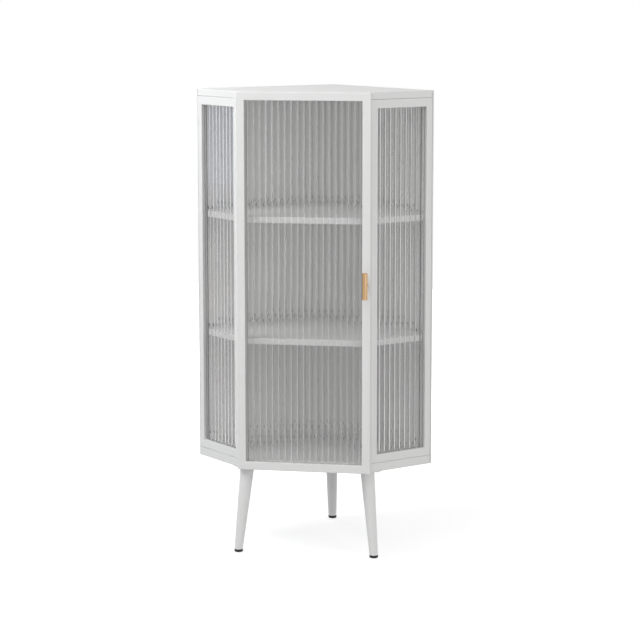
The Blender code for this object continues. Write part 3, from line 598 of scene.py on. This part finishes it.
class MakeHandle(bpy.types.Operator):
    """Make the brass bar and its stem"""
    bl_idname = "cabinet.make_handle"
    bl_label = "Handle"

    def execute(self, context):
        settings = context.scene.cabinet_handle
        brass = finish_of("brushed_brass")
        span = size("handle_bar")
        bpy.ops.mesh.primitive_cylinder_add(
            vertices=BAR_ROUND, radius=span.x / 2, depth=span.z, location=middle("handle_bar"))
        bar = added("brass_bar")
        settle(bar)
        edit(bar)
        pick(bar, lambda f: abs(f.normal.z) > FACING)
        bpy.ops.mesh.bevel(offset=settings.chamfer, segments=3, profile=0.6, affect="EDGES")
        leave()

        low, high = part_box("handle_post")
        centre = middle("handle_post")
        foot = size("handle_post").x / 2
        stem = foot * 2 / 3
        # The socket in the bar takes the stem
        drilled(bar, stem + SOCKET_FIT, centre, low[1])
        smooth(bar, 40)
        finished(bar, "door", "brushed_brass", brass, "handle_bar")

        bpy.ops.mesh.primitive_cylinder_add(
            vertices=STEM_ROUND, radius=foot, depth=FOOT_HEIGHT,
            location=(centre.x, high[1] - FOOT_HEIGHT / 2, centre.z), rotation=(pi / 2, 0, 0))
        post = added("brass_stem")
        settle(post)
        edit(post)
        pick(post, lambda f: f.normal.y < -FACING)
        bpy.ops.mesh.inset(thickness=foot - stem - FOOT_EDGE)
        bpy.ops.mesh.inset(thickness=FOOT_EDGE)
        bpy.ops.transform.translate(value=(0, -FOOT_EDGE, 0))
        length = high[1] - FOOT_HEIGHT - FOOT_EDGE - low[1]
        bpy.ops.mesh.extrude_region_move(TRANSFORM_OT_translate={"value": (0, -length, 0)})
        leave()
        # The screw comes from inside the door, as far as its box says
        drilled(post, SCREW_BORE, centre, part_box("handle_screw")[0][1])
        smooth(post, 40)
        finished(post, "door", "brushed_brass", brass, "handle_post")
        return {"FINISHED"}


# The camera that the corners of the cabinet in the photo gave: metres, radians and millimetres
CAMERA_PLACE = Vector((0.93174, -5.16189, 1.34649))
CAMERA_YAW = 0.1779
CAMERA_PITCH = -0.1516
CAMERA_ROLL = -0.0004
CAMERA_LENS = 121.886

# Each lamp's name, place, target, width, height, power setting and colour
LAMPS = (
    ("front_softbox", (-0.9, -3.0, 3.2), (0, 0, 0.9), 2.4, 1.6, "key", "#FFFFFF"),
    ("left_card", (-2.2, -0.2, 1.5), (-0.2, -0.2, 1.4), 1.2, 1.6, "side", "#C2DEFF"),
    ("high_left_softbox", (-1.3, -0.7, 2.1), (-0.22, -0.12, 1.0), 0.8, 0.8, "high", "#FFFFFF"),
    ("left_softbox", (-2.0, -2.6, 1.2), (0, 0, 0.7), 1.0, 2.0, "left", "#FFFFFF"),
    ("right_softbox", (2.4, -2.2, 1.3), (0.1, 0, 0.7), 1.2, 2.0, "fill", "#FFFFFF"),
    ("overhead_softbox", (0, 0.3, 3.2), (0, 0, 1.0), 2.0, 2.0, "top", "#FFFFFF"),
    ("rear_left_softbox", (-1.9, 2.4, 0.65), (0, 0.2, 0.6), 1.4, 1.1, "back", "#FFFFFF"),
    ("rear_right_softbox", (1.9, 2.4, 0.65), (0, 0.2, 0.6), 1.4, 1.1, "back", "#FFFFFF"),
)


def camera_axes():
    """The camera's right, up and backward directions."""
    forward = Vector((
        -sin(CAMERA_YAW) * cos(CAMERA_PITCH), cos(CAMERA_YAW) * cos(CAMERA_PITCH), sin(CAMERA_PITCH)))
    level = Vector((cos(CAMERA_YAW), sin(CAMERA_YAW), 0))
    upright = level.cross(forward)
    right = level * cos(CAMERA_ROLL) + upright * sin(CAMERA_ROLL)
    up = upright * cos(CAMERA_ROLL) - level * sin(CAMERA_ROLL)
    return right, up, -forward


def seen_first(tree, beyond):
    """A socket that is 1 for what the eye sees, less past a pane or in its reflection, and else 0."""
    path = add(tree, "ShaderNodeLightPath")
    seen = path.outputs["Is Camera Ray"]
    for kind in ("Is Glossy Ray", "Is Transmission Ray"):
        either = add(tree, "ShaderNodeMath", {0: seen, 1: path.outputs[kind]}, operation="MAXIMUM")
        seen = either.outputs[0]
    # A pane's first face is one bounce: past it the white is dimmer, and scattered light doesn't see it
    clear = add(tree, "ShaderNodeMath", {0: path.outputs["Diffuse Depth"], 1: 0.5}, operation="LESS_THAN")
    depth = add(tree, "ShaderNodeMapRange", {
        "Value": path.outputs["Ray Depth"], "From Min": 1.0, "From Max": 2.0,
        "To Min": 1.0, "To Max": beyond})
    for factor in (clear.outputs[0], depth.outputs["Result"]):
        seen = add(tree, "ShaderNodeMath", {0: seen, 1: factor}, operation="MULTIPLY").outputs[0]
    return seen


def lamp(name, place, target, wide, high, power, colour):
    """A soft rectangular lamp that points at a target."""
    data = bpy.data.lights.new(name, "AREA")
    data.shape = "RECTANGLE"
    data.size = wide
    data.size_y = high
    data.energy = power
    data.color = linear(colour)[:3]
    thing = bpy.data.objects.new(name, data)
    thing.location = place
    thing.rotation_euler = (Vector(target) - Vector(place)).to_track_quat("-Z", "Y").to_euler()
    # The lamps are seen only as a shine, never straight on or through a pane
    thing.visible_camera = False
    thing.visible_transmission = False
    bpy.context.scene.collection.objects.link(thing)


class MakeStage(bpy.types.Operator):
    """Make the floor, the lamps, the world and the camera"""
    bl_idname = "cabinet.make_stage"
    bl_label = "Stage"

    def execute(self, context):
        scene = context.scene
        settings = scene.cabinet_stage
        bpy.ops.mesh.primitive_plane_add(size=settings.floor, location=(0, 0, 0))
        floor = added("studio_floor")
        material, tree, shader = new_material("matt_white_floor")
        shader.inputs["Base Color"].default_value = linear(settings.floor_colour)
        shader.inputs["Roughness"].default_value = 0.9
        # The floor pales to the white of the background with distance from the cabinet
        place = add(tree, "ShaderNodeTexCoord").outputs["Object"]
        distance = add(tree, "ShaderNodeVectorMath", {0: place}, operation="LENGTH")
        pale = add(tree, "ShaderNodeMapRange", {
            "Value": distance.outputs["Value"], "From Min": settings.pale_from, "From Max": settings.pale_to})
        camera = add(tree, "ShaderNodeLightPath").outputs["Is Camera Ray"]
        far = add(tree, "ShaderNodeMath", {0: camera, 1: pale.outputs["Result"]}, operation="MULTIPLY")
        glow = add(tree, "ShaderNodeMath", {
            0: seen_first(tree, settings.floor_beyond), 1: settings.floor_glow, 2: far.outputs[0]},
            operation="MULTIPLY_ADD")
        shader.inputs["Emission Color"].default_value = (1, 1, 1, 1)
        tree.links.new(glow.outputs[0], shader.inputs["Emission Strength"])
        floor.data.materials.append(material)

        world = bpy.data.worlds.new("studio_white")
        world.use_nodes = True
        tree = world.node_tree
        # White to the eye, in reflections and through the glass, and a softer level as light
        level = add(tree, "ShaderNodeMapRange", {
            "Value": seen_first(tree, settings.white_beyond), "To Min": settings.world, "To Max": 1.0})
        background = tree.nodes["Background"]
        background.inputs["Color"].default_value = (1, 1, 1, 1)
        tree.links.new(level.outputs["Result"], background.inputs["Strength"])
        scene.world = world

        for name, place, target, wide, high, power, colour in LAMPS:
            lamp(name, place, target, wide, high, getattr(settings, power), colour)

        data = bpy.data.cameras.new("photo_view")
        data.lens = CAMERA_LENS
        data.sensor_width = 36.0
        data.sensor_fit = "HORIZONTAL"
        data.clip_end = 100.0
        camera = bpy.data.objects.new("photo_view", data)
        axes = Matrix(camera_axes()).transposed().to_4x4()
        camera.matrix_world = Matrix.Translation(CAMERA_PLACE) @ axes
        scene.collection.objects.link(camera)
        scene.camera = camera
        scene.view_settings.view_transform = "Standard"
        return {"FINISHED"}


OPERATORS = (CoatNodes, MakeGlass, MakePlugs, MakeHandle, MakeStage)
GROUPS = {
    "cabinet_paint": PaintSettings,
    "cabinet_glass": GlassSettings,
    "cabinet_plugs": PlugSettings,
    "cabinet_handle": HandleSettings,
    "cabinet_stage": StageSettings,
}


class CabinetPanel(bpy.types.Panel):
    """Builds the corner cabinet's looks, piece by piece"""
    bl_label = "Corner Cabinet"
    bl_idname = "VIEW3D_PT_corner_cabinet"
    bl_space_type = "VIEW_3D"
    bl_region_type = "UI"
    bl_category = "Corner Cabinet"

    def draw(self, context):
        for operator in OPERATORS:
            self.layout.operator(operator.bl_idname)
        for name in GROUPS:
            group = getattr(context.scene, name)
            box = self.layout.box()
            for key in group.__annotations__:
                box.prop(group, key)


def register():
    """Register the settings, the operators and the panel."""
    for item in (*GROUPS.values(), *OPERATORS, CabinetPanel):
        bpy.utils.register_class(item)
    for name, group in GROUPS.items():
        setattr(bpy.types.Scene, name, PointerProperty(type=group))


def unregister():
    """Remove the settings, the operators and the panel."""
    for name in GROUPS:
        delattr(bpy.types.Scene, name)
    for item in reversed((*GROUPS.values(), *OPERATORS, CabinetPanel)):
        bpy.utils.unregister_class(item)


def main():
    """Build every piece in order."""
    register()
    for name in ("coat_nodes", "make_glass", "make_plugs", "make_handle", "make_stage"):
        getattr(bpy.ops.cabinet, name)()


if __name__ == "__main__":
    main()
